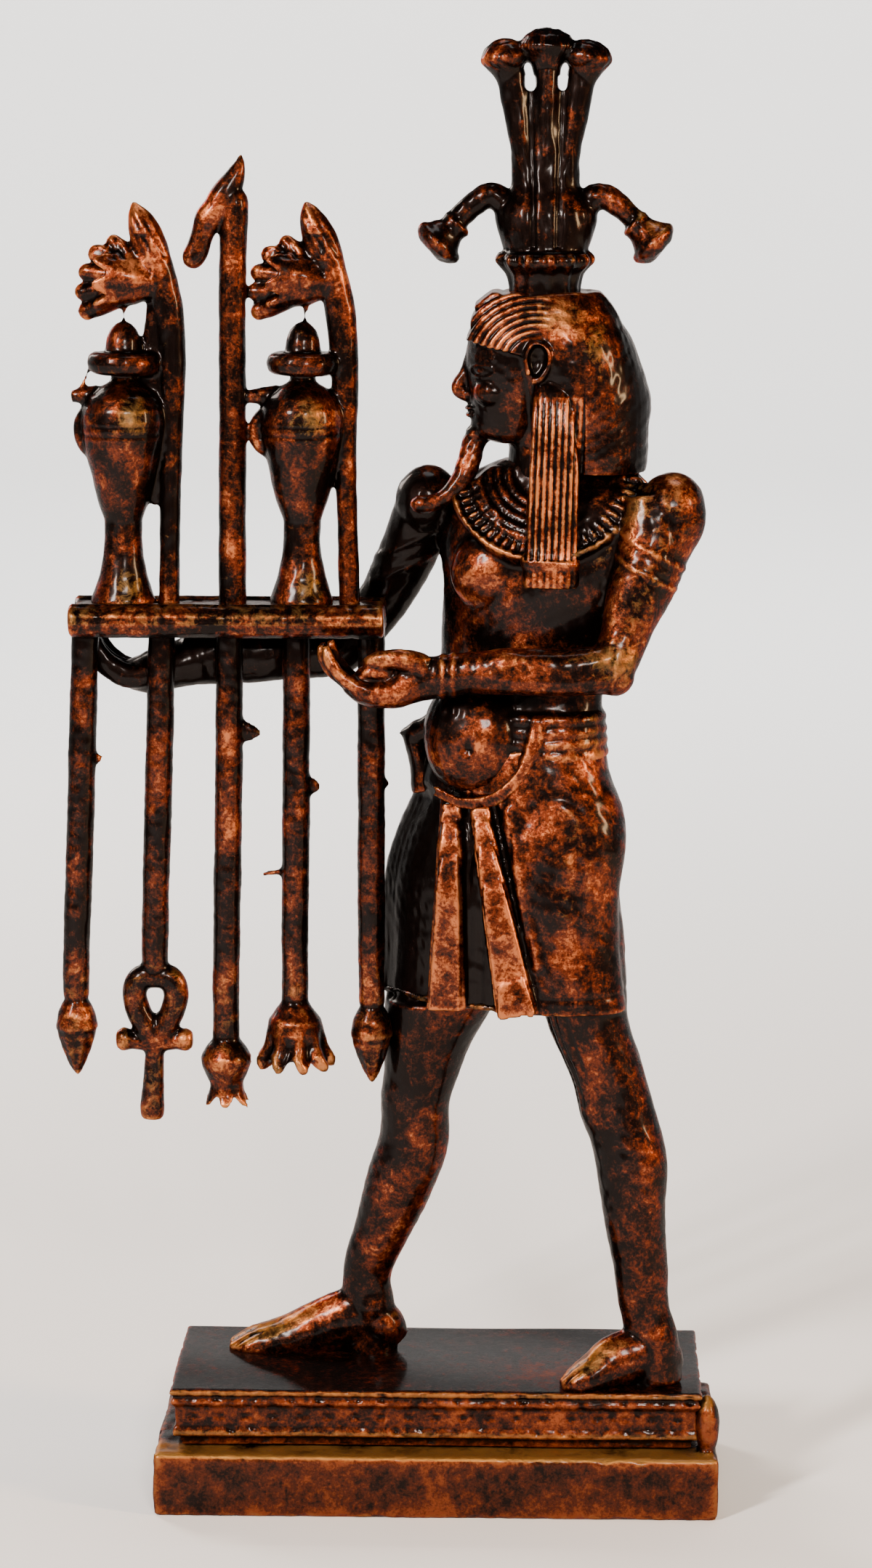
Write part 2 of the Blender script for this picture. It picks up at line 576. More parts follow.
def lower_carving(points, facing):
    x, y, z = points.T
    depth = ripple(points, 9, 21) * 0.07 + ripple(points, 2.2, 22) * 0.03
    # shin, knee and calf
    far_leg = (y > 0) & (z < 84)
    near_leg = (y < -2) & (z < 84)
    knee = peak(z, 68, 3.4)
    front = steps(0.3, 0.9, -facing[:, 0])
    depth += knee * front * 0.5 * (far_leg | near_leg)
    calf = peak(z, 56, 5) * steps(0.0, 0.8, -facing[:, 1]) * steps(0.0, 0.6, facing[:, 0])
    depth += calf * 0.35 * (far_leg | near_leg)
    # ankle bones
    for ax, ay in ((-11.4, 2.4), (37.6, -13.6)):
        depth += 0.35 * np.exp(-((x - ax) ** 2 + (z - 29.5) ** 2) / 3.0) * (np.abs(y - ay) < 2.5)
    # toes
    depth += toe_grooves(points, -33.0, -29.0, 7.3, 1.75) * (y > 0)
    depth += toe_grooves(points, 24.0, 27.0, -13.0, 1.55) * (y < -6)
    # hollow front between and beside the ribbons, and a faint line over the hem
    hollow = behind_sashes(x, z) * (1 - in_sashes(x, z, 0.3)) * steps(0.1, 0.5, -facing[:, 1])
    depth -= hollow * 1.1
    kilt = (z > HEM - 1) & (x > 18) & (np.hypot(facing[:, 0], facing[:, 1]) > 0.6)
    return depth - kilt * 0.12 * np.exp(-((z - HEM - 3.0) / 0.4) ** 2)


carve(lower_half, lower_carving)


def lower_copper(points, facing):
    x, y, z = points.T
    kilt = steps(84, 88, z)
    front = steps(0.0, 0.4, -facing[:, 1])
    amount = 0.38 + 0.12 * ripple(points, 12, 23)
    amount += kilt * 0.10 + 0.10 * kilt * peak(x, 16, 6)
    amount -= 0.60 * behind_sashes(x, z) * (1 - in_sashes(x, z, 0.2))
    amount += 0.18 * in_sashes(x, z, 0.2) * front
    amount -= 0.38 * steps(4, -4, x) * steps(92, 100, z) * (1 - in_sashes(x, z, 0.2))
    # the far shin and calf are rubbed, the knees are dark
    amount += 0.20 * (y > 0) * peak(z, 50, 12)
    amount -= 0.12 * (y > 0) * steps(60, 74, z) * (1 - kilt)
    amount += 0.20 * steps(34, 28, z) * steps(0.1, 0.7, facing[:, 2])
    amount -= 0.30 * steps(0.1, 0.8, facing[:, 1])
    amount -= 0.20 * steps(0.4, 0.95, -facing[:, 0]) * (z > 40)
    return amount


def lower_gold(points, facing):
    x, y, z = points.T
    feet = steps(32, 27, z) * steps(0.2, 0.7, facing[:, 2])
    flank = peak(x, 24, 7) * peak(z, 112, 16) * (y < 4)
    return feet * 0.40 + flank * 0.22


fit_in(lower_half, "statue", bronzed, lower_copper, lower_gold)

# Torso, arms and hands, with the belt, the armlets and the broad collar.
# Real piece: resin, in one with the kilt: heavy breast, hanging belly over a ridged
# waistband and a belt, both forearms held out level, palms up under the tray.
CHEST_TURN = -0.35
TORSO = [
    (18.6, 0.8, 178.5, 7.5, 5.6, CHEST_TURN), (18.8, 0.6, 175.5, 14.5, 6.2, CHEST_TURN),
    (19.0, 0.0, 171.5, 19.5, 7.6, CHEST_TURN), (18.2, -0.4, 165.0, 18.6, 9.2, CHEST_TURN),
    (17.4, -0.6, 158.0, 16.8, 9.6, CHEST_TURN), (16.0, -0.2, 150.0, 15.6, 8.8, CHEST_TURN),
    (14.6, 0.0, 142.0, 14.8, 8.6, -0.42), (14.0, -0.2, 134.0, 15.2, 9.6, HIP_TURN),
    (13.0, -0.4, 126.0, 16, 10.4, HIP_TURN),
]
COLLAR_CENTRE = Vector((19.0, -2.2, 176.0))
COLLAR_FACES = Vector((-0.12, -0.84, 0.56)).normalized()
BACK_COLLAR_CENTRE = Vector((19.0, 1.2, 176.0))
BACK_COLLAR_FACES = Vector((0.1, 0.84, 0.56))
COLLAR_RADIUS = 16.6
COLLAR_BAND = 4.6
COLLAR_BEADS = 58
COLLAR_TOP = 177.6


def trim(bm, place, outward):
    """Cuts away what lies beyond a plane, and closes the cut."""
    bmesh.ops.remove_doubles(bm, verts=bm.verts, dist=0.003)
    everything = bm.verts[:] + bm.edges[:] + bm.faces[:]
    bmesh.ops.bisect_plane(bm, geom=everything, plane_co=place, plane_no=outward, clear_outer=True)
    bmesh.ops.holes_fill(bm, edges=[e for e in bm.edges if e.is_boundary], sides=0)


def take_in(bm, other):
    """Moves another set of closed forms into this one."""
    passing = bpy.data.meshes.new("passing")
    other.to_mesh(passing)
    other.free()
    bm.from_mesh(passing)
    bpy.data.meshes.remove(passing)


def turned(bm, profile, sides, foot, towards=Vector((0, 0, 1)), flat=1.0, notch=None):
    """Spins a profile of (radius, height) round its axis. notch(angle, radius, height)
    may give the point another radius and height."""
    verts = [bm.verts.new((r, 0, h)) for r, h in profile]
    edges = [bm.edges.new(pair) for pair in zip(verts, verts[1:])]
    bmesh.ops.spin(
        bm, geom=verts + edges, cent=(0, 0, 0), axis=(0, 0, 1), dvec=(0, 0, 0),
        angle=2 * math.pi, steps=sides, use_merge=True, use_duplicate=False,
    )
    made = {v for v in verts if v.is_valid}
    reach = list(made)
    while reach:
        for e in reach.pop().link_edges:
            for v in e.verts:
                if v not in made:
                    made.add(v)
                    reach.append(v)
    lean = Vector((0, 0, 1)).rotation_difference(towards.normalized()).to_matrix()
    for v in made:
        if notch:
            angle = math.atan2(v.co.y, v.co.x)
            radius = math.hypot(v.co.x, v.co.y)
            radius, height = notch(angle, radius, v.co.z)
            v.co = Vector((radius * math.cos(angle), radius * math.sin(angle), height))
        v.co.y *= flat
        v.co = lean @ v.co + foot


bm = bmesh.new()
limb(bm, TORSO, 64, level=True, spacing=1.2)
# belly, breast and shoulders
lump(bm, 7.6, -4.2, 132.4, 9.6, 8.8, 10.6)
lump(bm, 11.2, -3.7, 160.2, 8.6, 5.2, 7.4)
lump(bm, 27.0, -5.8, 159.8, 7.6, 4.9, 6.6)
lump(bm, -1.4, 6.4, 170.8, 5.6, 5.6, 6.2)
lump(bm, 39.3, -7.6, 171.2, 5.8, 5.8, 6.2)
limb(bm, [
    (36.0, -8.0, 173.0, 4.8, 4.6), (36.0, -9.6, 166.6, 5.3, 5.0), (32.8, -12.0, 155.0, 4.6, 4.4),
    (31.0, -13.0, 148.0, 3.8, 3.8),
], 24)
# ridged waistband
band_rows = []
for i in range(9):
    grow = 0.1 + 0.08 * i + (0.38 if i % 2 else 0)
    band_rows.append((14.2, -0.3, 137.0 - i * 1.0, 15.3 + grow, 9.8 + grow, HIP_TURN))
limb(bm, band_rows, 64, level=True, spacing=0.35)
# belt that runs under the belly, a doubled cord
for shift in (-0.6, 0.6):
    limb(bm, [
        (17.6 + shift, -11.6, 136.4, 0.6), (16.6 + shift, -12.3, 131.6, 0.6),
        (14.0 + shift, -12.4, 126.4, 0.6), (9.6 + shift * 0.7, -11.4, 122.6 - shift * 0.8, 0.6),
        (4.4 + shift * 0.3, -9.2, 121.9 - shift, 0.5), (0.0, -6.4, 123.4 - shift, 0.4),
    ], 12, spacing=0.6)
# knot of the belt at the far side
limb(bm, [(1.5, 1.0, 136.0, 1.2, 2.2), (-3.2, 3.2, 131.6, 2.2, 2.4), (-6.2, 4.0, 131.5, 0.3, 0.8)], 14)
limb(bm, [(-4.4, 3.6, 131.6, 1.5, 2.2), (-2.6, 3.2, 126.5, 2.0, 2.6), (-1.8, 2.6, 121.5, 2.4, 2.6)], 14)
# near arm and its elbow
limb(bm, [
    (39.2, -7.4, 174.4, 4.2, 4.4), (39.9, -7.8, 170.4, 5.6, 5.5), (38.3, -8.5, 165.4, 5, 5.2),
    (36.0, -10.0, 158.8, 4.4, 4.7), (32.0, -12.3, 151.6, 4.2, 4.3), (29.2, -14.3, 145.8, 4.2, 4),
    (24.0, -15.2, 144.9, 4.1, 4), (13.0, -15.0, 145.0, 4, 3.8), (5.0, -13.6, 144.4, 3.7, 3.3),
    (0.0, -12.6, 143.5, 3.8, 2.9), (-4.6, -11.8, 142.4, 3.7, 3.6),
], 28, spacing=0.8, slim=0.95)
lump(bm, 30.0, -14.3, 144.4, 3.4, 3.2, 3.4)
# far arm
limb(bm, [
    (-2.0, 6.6, 174.2, 4.4, 4.6), (-2.2, 7.2, 170.4, 5.1, 5.4), (-3.8, 8.2, 164.4, 5.2, 5),
    (-7.0, 9.6, 157.4, 5, 4.6), (-11.6, 10.8, 150.0, 4.4, 4.2), (-16.4, 10.6, 144.6, 4.2, 4),
    (-23.0, 9.0, 144.2, 4.5, 3.8), (-31.0, 7.6, 144.2, 5, 3.6), (-38.0, 6.8, 144.0, 5, 3.6),
    (-43.0, 6.4, 143.8, 5, 3.9),
], 28, spacing=0.8, slim=0.95)
# near hand: palm, then thumb
limb(bm, [
    (-2.2, -12.0, 143.2, 3.7, 3.6), (-7.0, -11.4, 141.1, 3.1, 4.4), (-11.4, -11.0, 141.3, 2.6, 4.6),
    (-13.8, -10.6, 142.7, 2.2, 4.3),
], 20, spacing=0.6, slim=0.95)
limb(bm, [
    (-1.6, -13.6, 145.6, 2.2, 1.9), (-5.6, -14.6, 147.0, 1.9, 1.6), (-9.8, -13.8, 146.6, 1.4, 1.4),
    (-11.6, -13.2, 146.2, 0.6, 0.6),
], 16, spacing=0.5, slim=0.95)
lump(bm, -9.4, -12.6, 144.5, 3.4, 2.4, 1.4)
# near fingers, bent up under the end of the tray
for i in range(4):
    y = -14.2 + 2.2 * i
    reach = (0, 1.1, 0.9, -0.4)[i]
    limb(bm, [
        (-9.6, y * 0.97, 141.3, 1.15, 1.3), (-12.6 - reach * 0.5, y, 142.1, 1.2, 1.25),
        (-15.6 - reach, y + 0.1, 144.4, 1.1, 1.2), (-17.2 - reach, y + 0.2, 147.0, 1.0, 1.1),
        (-17.7 - reach, y + 0.3, 149.0, 0.6, 0.7),
    ], 14, spacing=0.5)
# far hand and fingers
limb(bm, [
    (-40.0, 6.4, 143.8, 4.8, 3.7), (-45.4, 6.2, 142.4, 4.2, 4.4), (-50.0, 6.0, 141.2, 3.6, 4.4),
    (-52.4, 5.9, 141.2, 2.6, 4),
], 20, spacing=0.7, slim=0.95)
for i in range(4):
    y = 2.7 + 2.15 * i
    reach = (0.2, 1.2, 1.0, -0.2)[i]
    limb(bm, [
        (-47.6, y, 141.6, 1.9, 1.3), (-52.0, y, 141.2, 2.1, 1.25),
        (-55.4 - reach * 0.6, y, 142.8, 2.1, 1.2), (-57.6 - reach * 0.7, y, 145.6, 1.9, 1.1),
        (-58.4 - reach * 0.7, y, 148.4, 1.5, 1.0), (-58.4 - reach * 0.7, y, 150.0, 0.8, 0.6),
    ], 14, spacing=0.5)
# broad collar: ridged rings inside, then a band between two rims, before and behind
ring_profile = [(0.001, -3.0), (0.001, 2.2)]
outer = COLLAR_RADIUS - COLLAR_BAND
for i in range(4):
    pitch = (outer - 5.4) / 4
    r = 5.4 + i * pitch
    ring_profile += [(r + pitch * 0.12, 1.55), (r + pitch * 0.45, 2.45), (r + pitch * 0.75, 2.45)]
ring_profile += [
    (outer, 1.3), (outer + 0.35, 2.1), (outer + 0.75, 2.1), (outer + 1.1, 1.2),
    (COLLAR_RADIUS - 1.1, 0.85), (COLLAR_RADIUS - 0.8, 1.7), (COLLAR_RADIUS - 0.3, 1.7),
    (COLLAR_RADIUS, 0.8), (COLLAR_RADIUS, -1.2), (0.001, -3.0),
]
collar = bmesh.new()
turned(collar, ring_profile, 96, COLLAR_CENTRE, COLLAR_FACES)
turned(collar, ring_profile, 96, BACK_COLLAR_CENTRE, BACK_COLLAR_FACES)
trim(collar, Vector((0, 0, COLLAR_TOP)), Vector((0, 0, 1)))
trim(collar, Vector((9.4, 0, COLLAR_TOP)), Vector((-0.6, 0, 0.8)))
trim(collar, Vector((32.6, 0, COLLAR_TOP)), Vector((0.7, 0, 0.7)))
take_in(bm, collar)
upper_half = cast(bm, "torso_and_arms", 0.42, 4)


def upper_carving(points, facing):
    x, y, z = points.T
    depth = ripple(points, 8, 31) * 0.10 + ripple(points, 2.4, 32) * 0.04
    # collar cells: drop beads in the outer band
    away = points - np.array(COLLAR_CENTRE)
    height = away @ np.array(COLLAR_FACES)
    flat = away - height[:, None] * np.array(COLLAR_FACES)
    side = Vector((0, 0, 1)).cross(COLLAR_FACES).normalized()
    up = COLLAR_FACES.cross(side)
    radius = np.linalg.norm(flat, axis=1)
    angle = np.arctan2(flat @ np.array(up), flat @ np.array(side))
    on_collar = (radius > outer) & (radius < COLLAR_RADIUS) & (np.abs(height - 1.2) < 1.6) & (y < 1)
    phase = (angle * COLLAR_BEADS / (2 * math.pi)) % 1 - 0.5
    spot_r = (radius - (outer + COLLAR_RADIUS) / 2) / 1.25
    depth += on_collar * 0.62 * np.exp(-((phase / 0.30) ** 2) - spot_r**2)
    # breast bone, navel hollow and the fold under the breast
    chest = (z > 120) & (z < 166) & (y < -4) & (x < 27)
    depth -= chest * 0.5 * peak(x, 15.5, 1.8) * peak(z, 158, 7)
    depth -= 0.9 * peak(x, 5.6, 1.0) * peak(z, 131.5, 1.2) * (y < -8)
    # armlets: ridged rings round the upper arms
    for (cx, cz, wx, wz, lo, hi) in (
        (37.0, 162.0, 0.50, 0.866, -30, 2), (-4.4, 162.0, -0.42, 0.90, 3, 30),
    ):
        run = (x - cx) * wx + (z - cz) * wz
        arm = (y > lo) & (y < hi) & (np.abs(x - cx) < 7) & (np.abs(run) < 3.4)
        depth += arm * 0.24 * peak(run, 1.8, 0.5)
        depth += arm * 0.24 * peak(run, -1.8, 0.5)
        depth += arm * 0.108 * np.exp(-((run / 0.7) ** 2))
    # bracelet at the near wrist
    wrist = (y < -7) & (z < 150) & (z > 137) & (x > -4) & (x < 6)
    depth += wrist * 0.28 * (peak(x, 1.6, 0.5) + peak(x, 3.4, 0.5))
    # muscles of the near forearm
    forearm = (y < -11.5) & (z < 150) & (z > 138) & (x > 4) & (x < 30)
    depth += forearm * 0.25 * np.sin((z - 141) * 1.1) * steps(6, 14, x)
    return depth


carve(upper_half, upper_carving)


def upper_copper(points, facing):
    x, y, z = points.T
    amount = 0.36 + 0.14 * ripple(points, 10, 33)
    near_arm = steps(25, 30, x) * steps(-1, -5, y)
    forearm = steps(-10.8, -12.2, y) * steps(136, 139, z) * steps(153, 149, z)
    amount += 0.10 * np.maximum(near_arm, forearm)
    amount -= 0.34 * steps(4, -4, x) * (z > 130) * steps(-8, -4, y)
    # rubbed breast and belly, black between them and behind the lappet
    amount += 0.27 * peak(x, 9, 7) * peak(z, 157, 9)
    amount += 0.30 * peak(x, 8, 6) * peak(z, 131, 6)
    amount -= 0.30 * peak(x, 6, 8) * peak(z, 139, 3)
    amount -= 0.22 * peak(x, 24, 4) * peak(z, 162, 8)
    amount += 0.18 * steps(137, 134, z) * steps(12, 18, x)
    amount -= 0.32 * steps(0.1, 0.8, facing[:, 1])
    return amount + 0.08 * steps(0, -4, x) * steps(-7, -9, y) * (z < 152)


def upper_gold(points, facing):
    x, y, z = points.T
    collar = np.exp(-(((np.hypot(x - 19, z - 176) - 14.4) / 2.2) ** 2)) * (y < 0) * (z < 176)
    arm = steps(23, 30, x) * steps(-5, -9, y) * steps(0.2, 0.8, -facing[:, 1] + facing[:, 2] * 0.5)
    forearm = steps(-10.8, -12.2, y) * peak(z, 147, 3)
    waistband = steps(15, 19, x) * peak(z, 132, 4) * (y < -4)
    return collar * 0.16 + arm * 0.20 + forearm * 0.18 + waistband * 0.24


fit_in(upper_half, "statue", bronzed, upper_copper, upper_gold)

# Head, wig and beard.
# Real piece: resin, in one with the torso: a wig whose strands run in steps round the ear and
# over the brow, a smooth bag behind, one lappet in front, and a thin beard that curls forward.
EAR_X, EAR_Z = 17.1, 195.8
HAIR_LINE = 199.4
CHIN = 181.6
THIRD = (HAIR_LINE - CHIN) / 3
BROW = HAIR_LINE - THIRD * 0.62
NOSE_FOOT = CHIN + THIRD * 1.3
MOUTH = CHIN + THIRD * 0.86
FACE = 5.0
CAP_REACH = 15.0
CAP_TOP = 206.7

bm = bmesh.new()
limb(bm, [
    (13.6, 0, 205.0, 6.8, 6.4), (13.3, 0, HAIR_LINE, 8, 7.9), (13.0, 0, BROW, 8.1, 8),
    (13.2, 0, NOSE_FOOT, 7.8, 7.3), (13.2, 0, MOUTH, 7.4, 6.4), (12.8, 0, CHIN + 1.2, 6.3, 4.8),
    (14.2, 0, CHIN - 0.2, 3.6, 3.6),
], 40, level=True, spacing=0.6, slim=0.97)
# neck
limb(bm, [
    (17.6, 0.2, 187, 6.2, 5.8), (18.0, 0.6, 181, 5.7, 5.6), (18.4, 0.8, 174, 6.6, 6.0),
], 36, level=True)
# nose
limb(bm, [
    (FACE + 0.9, 0, BROW + 0.6, 0.8, 0.9), (FACE + 0.1, 0, (BROW + NOSE_FOOT) / 2 + 0.4, 1.1, 0.95),
    (FACE - 0.9, 0, NOSE_FOOT + 1.0, 1.45, 1.25), (FACE + 0.2, 0, NOSE_FOOT, 1.2, 1.3),
    (FACE + 1.2, 0, NOSE_FOOT - 0.5, 0.9, 1.0),
], 18, spacing=0.4)
# lips, chin, cheeks
lump(bm, FACE + 0.75, 0, MOUTH + 0.55, 0.9, 2.0, 0.55)
lump(bm, FACE + 0.95, 0, MOUTH - 0.55, 0.95, 1.8, 0.6)
lump(bm, FACE + 1.9, 0, CHIN + 1.4, 1.9, 2.6, 1.6)
for side in (-1, 1):
    lump(bm, FACE + 4.2, side * 4.6, NOSE_FOOT + 1.0, 3.0, 2.4, 2.4, side * 0.6)
    lump(bm, FACE + 0.5, side * 1.0, NOSE_FOOT + 0.35, 0.8, 0.6, 0.55)
    # eye under its lid, and the brow drawn out with paint stripes
    lump(bm, FACE + 3.1, side * 4.9, BROW - 1.9, 1.9, 1.1, 0.75, side * 0.75)
    limb(bm, [
        (FACE + 1.0, side * 1.4, BROW + 0.1, 0.4, 0.45),
        (FACE + 2.1, side * 4.4, BROW + 0.7, 0.45, 0.5),
        (FACE + 5.2, side * 7.1, BROW + 0.1, 0.3, 0.4),
    ], 10, spacing=0.4)
    # ear: a rolled rim round a hollow
    limb(bm, [
        (15.6, side * 10.2, EAR_Z - 2.3, 0.5, 0.8), (15.3, side * 10.3, EAR_Z + 1.1, 0.55, 0.9),
        (16.4, side * 10.4, EAR_Z + 2.8, 0.6, 1.0), (18.1, side * 10.4, EAR_Z + 2.5, 0.6, 1.0),
        (18.9, side * 10.3, EAR_Z + 0.6, 0.6, 1.0), (18.4, side * 10.2, EAR_Z - 1.5, 0.65, 0.9),
        (17.2, side * 10.2, EAR_Z - 3.0, 0.7, 0.9), (16.2, side * 10.1, EAR_Z - 3.2, 0.6, 0.8),
    ], 14, spacing=0.4)
    lump(bm, 17.1, side * 9.0, EAR_Z, 1.9, 1.2, 2.8)
# wig: cap and bag in one
limb(bm, [
    (17.2, 0, 206.5, 6, 5), (17.2, 0, 205.4, 9, 7.8), (19.8, 0, 201.8, 10.9, 9.9),
    (22.0, 0, 196.4, 11.7, 10.6), (24.4, 0, 189.4, 11.5, 10.6), (25.2, 0, 184.0, 10.5, 10.2),
    (25.6, 0, 179.4, 10, 9.8), (25.6, 0, 176.9, 9.7, 9.4),
], 56, level=True, spacing=0.6)
# cap of the wig: a rounded disc on the ear's axis, cut flat on top, below and in front
cap = bmesh.new()
cap_profile = [(0.001, -10.4)]
for i in range(1, 16):
    r = CAP_REACH * i / 15
    cap_profile.append((r, -10.4 * math.sqrt(1 - (r / (CAP_REACH + 0.3)) ** 2.6)))
cap_profile += [(r, -h) for r, h in reversed(cap_profile)]
turned(cap, cap_profile, 80, Vector((EAR_X, 0, EAR_Z)), Vector((0, 1, 0)))
trim(cap, Vector((0, 0, CAP_TOP)), Vector((0, 0, 1)))
trim(cap, Vector((5, 0, 198.9)), Vector((-0.234, 0, -0.972)))
trim(cap, Vector((4.9, 0, 198.2)), Vector((-0.965, 0, 0.262)))
trim(cap, Vector((7.6, 0, 205.3)), Vector((-0.6, 0, 0.8)))
take_in(bm, cap)
# lappet in front of the near shoulder, with its end band
limb(bm, [
    (19.4, -5.6, 194.0, 2.2, 1.6), (19.5, -8.6, 190.4, 2.9, 2.0), (19.7, -9.9, 186.0, 3.5, 2.2),
    (19.8, -10.3, 180, 4.1, 2.3), (19.6, -10.7, 171, 4.5, 2.3), (19.5, -11.1, 163.4, 4.7, 2.4),
    (19.4, -11.2, 162.9, 4.95, 2.6), (19.4, -11.2, 162.3, 4.95, 2.6), (19.4, -11.2, 161.9, 4.7, 2.5),
    (19.4, -11.3, 159.2, 4.8, 2.5), (19.4, -11.3, 158.5, 4.5, 2.3),
], 32, spacing=0.4, corner=0.75)
# beard, curled forward at its tip
limb(bm, [
    (8.8, 0, 184.2, 1.8, 1.6), (6.7, -0.4, 182.0, 2.0, 1.7), (5.7, -1.2, 178.4, 2.0, 1.8),
    (4.1, -2.0, 174.9, 1.8, 1.7), (1.2, -2.2, 172.2, 1.5, 1.5), (-1.6, -2.0, 171.2, 1.7, 1.7),
    (-3.2, -1.8, 171.3, 1.4, 1.4), (-4.0, -1.7, 171.4, 0.6, 0.6),
], 18, spacing=0.5)
head = cast(bm, "head_wig_and_beard", 0.29, 2)


def head_carving(points, facing):
    x, y, z = points.T
    depth = ripple(points, 9, 41) * 0.08 + ripple(points, 2.0, 42) * 0.03
    # strands in steps round the ear, fading into the smooth bag behind
    radius = np.hypot(x - EAR_X, (z - EAR_Z) * 1.18)
    angle = np.arctan2(z - EAR_Z, EAR_X - x)
    hair = steps(4.2, 4.8, radius) * steps(-0.32, -0.22, angle) * steps(1.95, 1.35, angle)
    hair *= np.maximum(steps(198.5, 199.1, z + 0.24 * (x - 5)), steps(15, 17, x)) * (z > 193.4)
    depth -= hair * 0.34 * waves(radius, 1.28) ** 2
    back = (angle > 1.3) | (x > 24)
    depth += back * (z > 178) * (x > 14) * -0.05 * waves(radius, 1.9)
    # lappet grooves
    lappet = (np.abs(x - 19.8) < 5.2) & (y < -8.2) & (z < 190.5) & (z > 163.2)
    run = x - (19.4 + (z - 158.5) / 32)
    depth += lappet * steps(191, 187, z) * -0.42 * waves(run, 1.12) ** 2
    end = (np.abs(x - 19.4) < 5.4) & (y < -8.2) & (z < 161.6)
    depth += end * -0.14 * waves(run, 1.12) ** 2
    # faint turns of the plaited beard
    beard = (x < 8.2) & (z < 183.5) & (y > -3) & (z > 168)
    depth += beard * -0.06 * waves((z - x * 0.9), 1.5) ** 2
    # lids round the eyes, corners of the mouth
    for side in (-1, 1):
        lid = np.hypot(x - (FACE + 3.0), (z - (BROW - 1.9)) * 2.0)
        face = (np.sign(y) == side) & (x < 12) & (z < 199) & (z > 180)
        depth += face * 0.20 * peak(lid, 2.0, 0.28) * steps(2.2, 3.2, np.abs(y))
    lips = (x < FACE + 3.4) & (np.abs(z - MOUTH) < 0.5)
    depth += lips * -0.35 * peak(z, MOUTH, 0.22) * steps(2.6, 2.0, np.abs(y))
    hollow = np.hypot((x - 17.3) / 1.2, (z - EAR_Z - 0.3) / 2.0)
    depth += (np.abs(y) > 8.6) * (np.abs(y) < 11.5) * -0.8 * np.exp(-(hollow**2))
    return depth


carve(head, head_carving)


def head_copper(points, facing):
    x, y, z = points.T
    amount = 0.36 + 0.16 * ripple(points, 9, 43)
    amount += 0.26 * steps(197.5, 200, z) * steps(4, 12, x) * steps(32, 24, x)
    amount += 0.24 * steps(-8, -10, y) * steps(25.5, 24, x) * (z < 190)
    amount -= 0.26 * steps(29, 34, x)
    amount += 0.16 * peak(x, 28, 3) * peak(z, 186, 4)
    amount -= 0.05 * steps(15, 13, x) * steps(197.5, 196, z) * steps(178, 181, z)
    amount += 0.16 * steps(8, 6, x) * (z < 183)
    amount -= 0.25 * steps(0.2, 0.8, facing[:, 1])
    return amount


def head_gold(points, facing):
    x, y, z = points.T
    top = peak(x, 20, 6) * peak(z, 203, 4)
    back = peak(x, 27, 3) * peak(z, 197, 6)
    lappet = steps(-8, -10, y) * steps(25.5, 23, x) * (z < 190)
    return (top * 0.42 + back * 0.30) * steps(4, 0, y) + lappet * 0.15


fit_in(head, "statue", bronzed, head_copper, head_gold, 7, 0.2)

# Crown.
# Real piece: resin, in one with the wig: a clump of papyrus on a scalloped ring, three stems
# that stand and end in umbels and two that droop, fused where they touch.
AXIS = 18.3

bm = bmesh.new()
limb(
    bm, [
        (18.1, 0, 213.0, 7.5), (18.1, 0, 211.6, 7.9), (18.1, 0, 209.6, 6.5), (18.1, 0, 206.8, 6.1),
        (18.1, 0, 204.6, 6.4),
    ], 72, level=True, spacing=0.35, slim=0.98,
    flute=lambda share, angle: 1 + 0.07 * (1 - share) * math.cos(angle * 13),
)
limb(bm, [
    (18.3, 0, 211.5, 6.4, 5.6), (18.3, 0, 219.2, 8.7, 5.2), (18.2, 0, 224.4, 5.7, 3.6),
    (18.2, 0, 239.9, 6.1, 1.6),
], 40, level=True, slim=0.98)
limb(bm, [
    (AXIS, 0, 214, 1.7, 3.2), (AXIS + 0.1, 0, 228, 1.9, 3.0), (AXIS + 0.1, 0, 238, 2.1, 2.6),
    (AXIS + 0.1, 0, 247, 2.3, 2.2),
], 24)


def umbel(bm, foot, towards, width):
    """A papyrus umbel: it flares from the stem and ends in a low dome."""
    r = width / 2
    turned(bm, [
        (0.001, 0), (r * 0.46, 0), (r * 0.5, 0.8), (r * 0.62, 2.0), (r * 0.84, 3.2), (r * 0.98, 4.0),
        (r, 4.5), (r * 0.93, 5.2), (r * 0.76, 6.2), (r * 0.4, 7.1), (0.001, 7.4),
    ], 36, foot, towards)


umbel(bm, Vector((AXIS + 0.1, 0, 242.4)), Vector((0, 0, 1)), 9.6)
for side in (-1, 1):
    limb(bm, [
        (AXIS + side * 3.2, 0, 214, 1.8, 2.6), (AXIS + side * 3.5, 0, 227, 1.9, 2.4),
        (AXIS + side * 5.0, 0, 237, 2.3, 2.2), (AXIS + side * 6.2, 0, 244.2, 2.4, 2.2),
    ], 24)
    umbel(bm, Vector((AXIS + side * 6.1, 0, 240.6)), Vector((side * 0.16, 0, 1)), 8.4)
    limb(bm, [
        (AXIS + side * 4.6, 0, 215.6, 2.6, 2.2), (AXIS + side * 6.4, 0, 220.6, 2.4, 2.1),
        (AXIS + side * 8.8, 0, 222.4, 2.15, 2.0), (AXIS + side * 12.2, 0, 220.6, 2.0, 1.9),
        (AXIS + side * 15.2, 0, 217.8, 1.9, 1.9),
    ], 24, spacing=0.6)
    turned(bm, [
        (0.001, 0), (2.3, 0.2), (2.6, 0.7), (2.3, 1.4), (2.4, 2.2), (3.2, 3.6), (4.1, 4.6),
        (4.3, 5.2), (3.9, 6.0), (2.6, 6.9), (0.001, 7.2),
    ], 30, Vector((AXIS + side * 14.2, 0, 218.2)), Vector((side * 0.72, 0, -0.69)))
crown = cast(bm, "papyrus_crown", 0.33, 3)


